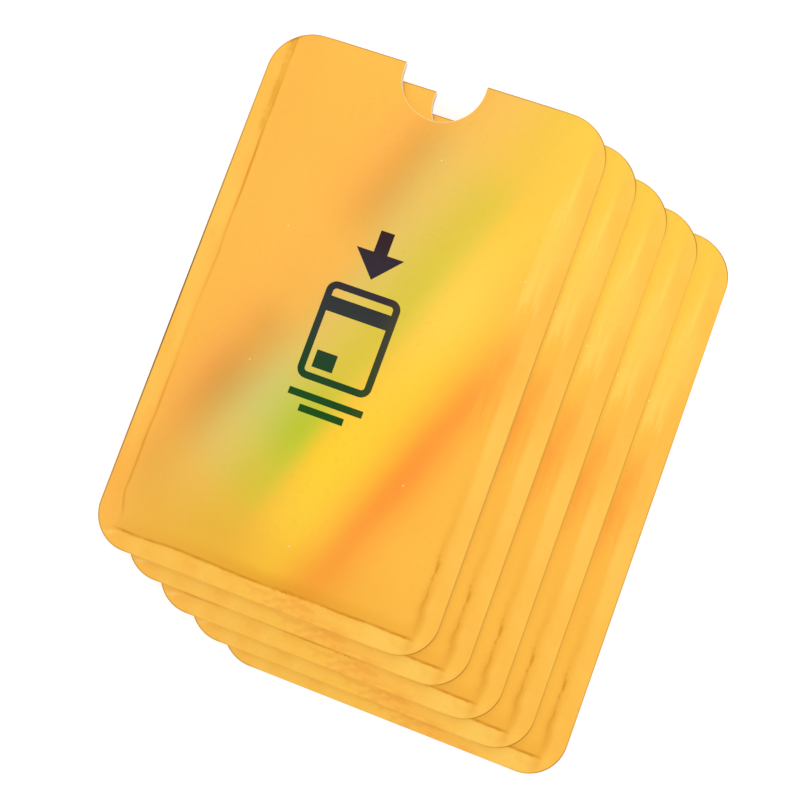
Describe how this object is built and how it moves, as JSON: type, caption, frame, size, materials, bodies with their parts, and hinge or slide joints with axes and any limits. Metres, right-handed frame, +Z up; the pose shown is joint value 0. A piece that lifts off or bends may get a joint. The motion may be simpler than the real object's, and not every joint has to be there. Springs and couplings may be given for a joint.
{
  "type": "rfid card sleeve",
  "caption": "Flat foil-laminate card sleeve with three heat-sealed edges and a thumb-notched mouth, built as a fanned stack of loose sleeves that slide on one another.",
  "frame": {"origin": "under the middle of the fanned set, in the plane that the lowest sleeve lies on", "axes": "+Y along the sleeves towards their mouths, +X across them in the direction that the fan steps down, +Z up from the surface"},
  "size_m": [0.0854, 0.104, 0.0078],
  "materials": {
    "gold_film": "satin holographic gold, faint rainbow bands",
    "foil": "bright rolled foil, seen only at the cut edges",
    "paper": "uncoated white, matt",
    "heat_seal": "clear heat-seal film",
    "ink": "thin dark ink, slightly glossy"
  },
  "bodies": {
    "sleeve_5": {"back_film_5": "gold_film", "back_foil_5": "foil", "back_paper_5": "paper", "left_seal_5": "heat_seal", "right_seal_5": "heat_seal", "base_seal_5": "heat_seal", "front_paper_5": "paper", "front_foil_5": "foil", "front_film_5": "gold_film", "print_5": "ink"},
    "sleeve_4": {"back_film_4": "gold_film", "back_foil_4": "foil", "back_paper_4": "paper", "left_seal_4": "heat_seal", "right_seal_4": "heat_seal", "base_seal_4": "heat_seal", "front_paper_4": "paper", "front_foil_4": "foil", "front_film_4": "gold_film", "print_4": "ink"},
    "sleeve_3": {"back_film_3": "gold_film", "back_foil_3": "foil", "back_paper_3": "paper", "left_seal_3": "heat_seal", "right_seal_3": "heat_seal", "base_seal_3": "heat_seal", "front_paper_3": "paper", "front_foil_3": "foil", "front_film_3": "gold_film", "print_3": "ink"},
    "sleeve_2": {"back_film_2": "gold_film", "back_foil_2": "foil", "back_paper_2": "paper", "left_seal_2": "heat_seal", "right_seal_2": "heat_seal", "base_seal_2": "heat_seal", "front_paper_2": "paper", "front_foil_2": "foil", "front_film_2": "gold_film", "print_2": "ink"},
    "sleeve_1": {"back_film_1": "gold_film", "back_foil_1": "foil", "back_paper_1": "paper", "left_seal_1": "heat_seal", "right_seal_1": "heat_seal", "base_seal_1": "heat_seal", "front_paper_1": "paper", "front_foil_1": "foil", "front_film_1": "gold_film", "print_1": "ink"}
  },
  "joints": [
    {"name": "sleeve_4_slide", "type": "slide", "parent": "sleeve_5", "child": "sleeve_4", "axis": [-0.9456, 0.3253, 0], "range_m": [-0.00661, 0.061]},
    {"name": "sleeve_3_slide", "type": "slide", "parent": "sleeve_4", "child": "sleeve_3", "axis": [-0.9218, 0.3877, 0], "range_m": [-0.00683, 0.061]},
    {"name": "sleeve_2_slide", "type": "slide", "parent": "sleeve_3", "child": "sleeve_2", "axis": [-0.8917, 0.4526, 0], "range_m": [-0.0074, 0.061]},
    {"name": "sleeve_1_slide", "type": "slide", "parent": "sleeve_2", "child": "sleeve_1", "axis": [-0.9126, 0.4088, 0], "range_m": [-0.00685, 0.061]}
  ]
}
